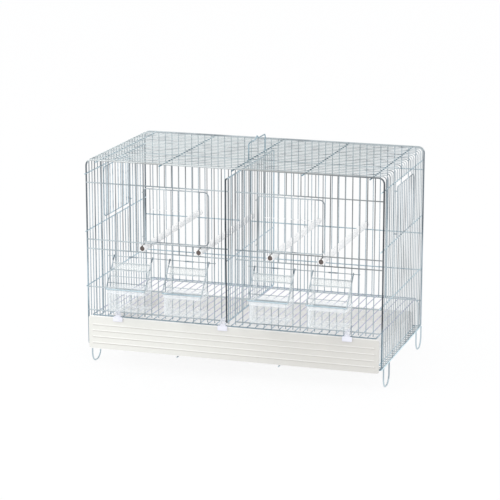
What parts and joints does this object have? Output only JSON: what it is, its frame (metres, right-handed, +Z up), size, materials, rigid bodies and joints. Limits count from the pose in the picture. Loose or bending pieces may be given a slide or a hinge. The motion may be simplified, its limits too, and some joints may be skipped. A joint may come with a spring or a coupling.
{
  "type": "divided bird cage",
  "caption": "Wire bird cage with two compartments, a pull-out divider and tray, hinged doors, outside feeders with flaps, perches and a carry handle.",
  "frame": {"origin": "middle of the bounding box at ground level, under the feet", "axes": "+X to the right, +Y to the back, +Z up; the tray's front and the feeders face -Y"},
  "size_m": [0.558, 0.3544, 0.4194],
  "materials": {
    "back_frame": "zinc-plated steel wire, bright bluish grey",
    "back_panel": "zinc-plated steel wire, bright bluish grey",
    "base_wire_left": "zinc-plated steel wire, bright bluish grey",
    "base_wire_right": "zinc-plated steel wire, bright bluish grey",
    "carry_handle": "zinc-plated steel wire, bright bluish grey",
    "divider": "zinc-plated steel wire, bright bluish grey",
    "door_pull_left": "smooth tube, matte ivory",
    "door_pull_right": "smooth tube, matte ivory",
    "feeder_cup_left_inner": "clear moulded plastic, glossy",
    "feeder_cup_left_outer": "clear moulded plastic, glossy",
    "feeder_cup_right_inner": "clear moulded plastic, glossy",
    "feeder_cup_right_outer": "clear moulded plastic, glossy",
    "feeder_flap_left_inner": "zinc-plated steel wire, bright bluish grey",
    "feeder_flap_left_outer": "zinc-plated steel wire, bright bluish grey",
    "feeder_flap_right_inner": "zinc-plated steel wire, bright bluish grey",
    "feeder_flap_right_outer": "zinc-plated steel wire, bright bluish grey",
    "feeder_hood_left_inner": "clear moulded plastic, glossy",
    "feeder_hood_left_outer": "clear moulded plastic, glossy",
    "feeder_hood_right_inner": "clear moulded plastic, glossy",
    "feeder_hood_right_outer": "clear moulded plastic, glossy",
    "flap_rod_left": "zinc-plated steel wire, bright bluish grey",
    "flap_rod_right": "zinc-plated steel wire, bright bluish grey",
    "floor_grid": "zinc-plated steel wire, bright bluish grey",
    "floor_rest": "zinc-plated steel wire, bright bluish grey",
    "foot_back_left": "zinc-plated steel wire, bright bluish grey",
    "foot_back_right": "zinc-plated steel wire, bright bluish grey",
    "foot_front_left": "zinc-plated steel wire, bright bluish grey",
    "foot_front_right": "zinc-plated steel wire, bright bluish grey",
    "front_door_left": "zinc-plated steel wire, bright bluish grey",
    "front_door_right": "zinc-plated steel wire, bright bluish grey",
    "front_frame": "zinc-plated steel wire, bright bluish grey",
    "front_panel_left": "zinc-plated steel wire, bright bluish grey",
    "front_panel_right": "zinc-plated steel wire, bright bluish grey",
    "grid_clip_left": "moulded plastic, satin white",
    "grid_clip_middle": "moulded plastic, satin white",
    "grid_clip_right": "moulded plastic, satin white",
    "ledge_left": "zinc-plated steel wire, bright bluish grey",
    "ledge_right": "zinc-plated steel wire, bright bluish grey",
    "perch_1": "smooth tube, matte ivory",
    "perch_2": "smooth tube, matte ivory",
    "perch_3": "smooth tube, matte ivory",
    "perch_4": "smooth tube, matte ivory",
    "roof_grille": "zinc-plated steel wire, bright bluish grey",
    "side_door_left": "zinc-plated steel wire, bright bluish grey",
    "side_door_right": "zinc-plated steel wire, bright bluish grey",
    "side_grille_left": "zinc-plated steel wire, bright bluish grey",
    "side_grille_right": "zinc-plated steel wire, bright bluish grey",
    "tray": "moulded plastic, semi-gloss cream"
  },
  "bodies": {
    "cage": {"front_frame": "front_frame", "back_frame": "back_frame", "back_panel": "back_panel", "roof_grille": "roof_grille", "floor_rest": "floor_rest", "base_wire_left": "base_wire_left", "base_wire_right": "base_wire_right", "front_panel_left": "front_panel_left", "side_grille_left": "side_grille_left", "ledge_left": "ledge_left", "flap_rod_left": "flap_rod_left", "foot_front_left": "foot_front_left", "foot_back_left": "foot_back_left", "front_panel_right": "front_panel_right", "side_grille_right": "side_grille_right", "ledge_right": "ledge_right", "flap_rod_right": "flap_rod_right", "foot_front_right": "foot_front_right", "foot_back_right": "foot_back_right", "feeder_hood_left_inner": "feeder_hood_left_inner", "feeder_hood_left_outer": "feeder_hood_left_outer", "feeder_hood_right_inner": "feeder_hood_right_inner", "feeder_hood_right_outer": "feeder_hood_right_outer", "perch_1": "perch_1", "perch_2": "perch_2", "perch_3": "perch_3", "perch_4": "perch_4"},
    "tray": {"tray": "tray"},
    "floor_grid": {"floor_grid": "floor_grid", "grid_clip_left": "grid_clip_left", "grid_clip_middle": "grid_clip_middle", "grid_clip_right": "grid_clip_right"},
    "divider": {"divider": "divider"},
    "carry_handle": {"carry_handle": "carry_handle"},
    "front_door_left": {"front_door_left": "front_door_left", "door_pull_left": "door_pull_left"},
    "front_door_right": {"front_door_right": "front_door_right", "door_pull_right": "door_pull_right"},
    "side_door_left": {"side_door_left": "side_door_left"},
    "side_door_right": {"side_door_right": "side_door_right"},
    "feeder_flap_left_inner": {"feeder_flap_left_inner": "feeder_flap_left_inner"},
    "feeder_cup_left_inner": {"feeder_cup_left_inner": "feeder_cup_left_inner"},
    "feeder_flap_left_outer": {"feeder_flap_left_outer": "feeder_flap_left_outer"},
    "feeder_cup_left_outer": {"feeder_cup_left_outer": "feeder_cup_left_outer"},
    "feeder_flap_right_inner": {"feeder_flap_right_inner": "feeder_flap_right_inner"},
    "feeder_cup_right_inner": {"feeder_cup_right_inner": "feeder_cup_right_inner"},
    "feeder_flap_right_outer": {"feeder_flap_right_outer": "feeder_flap_right_outer"},
    "feeder_cup_right_outer": {"feeder_cup_right_outer": "feeder_cup_right_outer"}
  },
  "joints": [
    {"name": "tray_slide", "type": "slide", "parent": "cage", "child": "tray", "axis": [0, -1, 0], "range_m": [0, 0.25]},
    {"name": "floor_grid_slide", "type": "slide", "parent": "tray", "child": "floor_grid", "axis": [0, -0.9999, 0.0139], "range_m": [0, 0.25]},
    {"name": "divider_slide", "type": "slide", "parent": "cage", "child": "divider", "axis": [0, -1, 0], "range_m": [-0.046, 0.22]},
    {"name": "handle_pivot", "type": "hinge", "parent": "cage", "child": "carry_handle", "pos_m": [0.0035, 0.00756, 0.38], "axis": [0, 1, 0], "range_deg": [-80, 80]},
    {"name": "front_door_left_hinge", "type": "hinge", "parent": "cage", "child": "front_door_left", "pos_m": [-0.166, -0.1277, 0.2895], "axis": [0, 0, -1], "range_deg": [0, 150]},
    {"name": "front_door_right_hinge", "type": "hinge", "parent": "cage", "child": "front_door_right", "pos_m": [0.0463, -0.1277, 0.2895], "axis": [0, 0, -1], "range_deg": [0, 105]},
    {"name": "side_door_left_hinge", "type": "hinge", "parent": "cage", "child": "side_door_left", "pos_m": [-0.275, 0.09048, 0.3055], "axis": [0, 0, -1], "range_deg": [0, 150]},
    {"name": "side_door_right_hinge", "type": "hinge", "parent": "cage", "child": "side_door_right", "pos_m": [0.275, -0.04588, 0.3055], "axis": [0, 0, -1], "range_deg": [0, 150]},
    {"name": "feeder_flap_left_inner_hinge", "type": "hinge", "parent": "cage", "child": "feeder_flap_left_inner", "pos_m": [-0.07955, -0.12965, 0.21], "axis": [-1, 0, 0], "range_deg": [0, 74]},
    {"name": "feeder_cup_left_inner_slide", "type": "slide", "parent": "cage", "child": "feeder_cup_left_inner", "axis": [0, -1, 0], "range_m": [0, 0.06]},
    {"name": "feeder_flap_left_outer_hinge", "type": "hinge", "parent": "cage", "child": "feeder_flap_left_outer", "pos_m": [-0.18595, -0.12965, 0.21], "axis": [-1, 0, 0], "range_deg": [0, 74]},
    {"name": "feeder_cup_left_outer_slide", "type": "slide", "parent": "cage", "child": "feeder_cup_left_outer", "axis": [0, -1, 0], "range_m": [0, 0.06]},
    {"name": "feeder_flap_right_inner_hinge", "type": "hinge", "parent": "cage", "child": "feeder_flap_right_inner", "pos_m": [0.07955, -0.12965, 0.21], "axis": [-1, 0, 0], "range_deg": [0, 74]},
    {"name": "feeder_cup_right_inner_slide", "type": "slide", "parent": "cage", "child": "feeder_cup_right_inner", "axis": [0, -1, 0], "range_m": [0, 0.06]},
    {"name": "feeder_flap_right_outer_hinge", "type": "hinge", "parent": "cage", "child": "feeder_flap_right_outer", "pos_m": [0.18595, -0.12965, 0.21], "axis": [-1, 0, 0], "range_deg": [0, 74]},
    {"name": "feeder_cup_right_outer_slide", "type": "slide", "parent": "cage", "child": "feeder_cup_right_outer", "axis": [0, -1, 0], "range_m": [0, 0.06]}
  ]
}
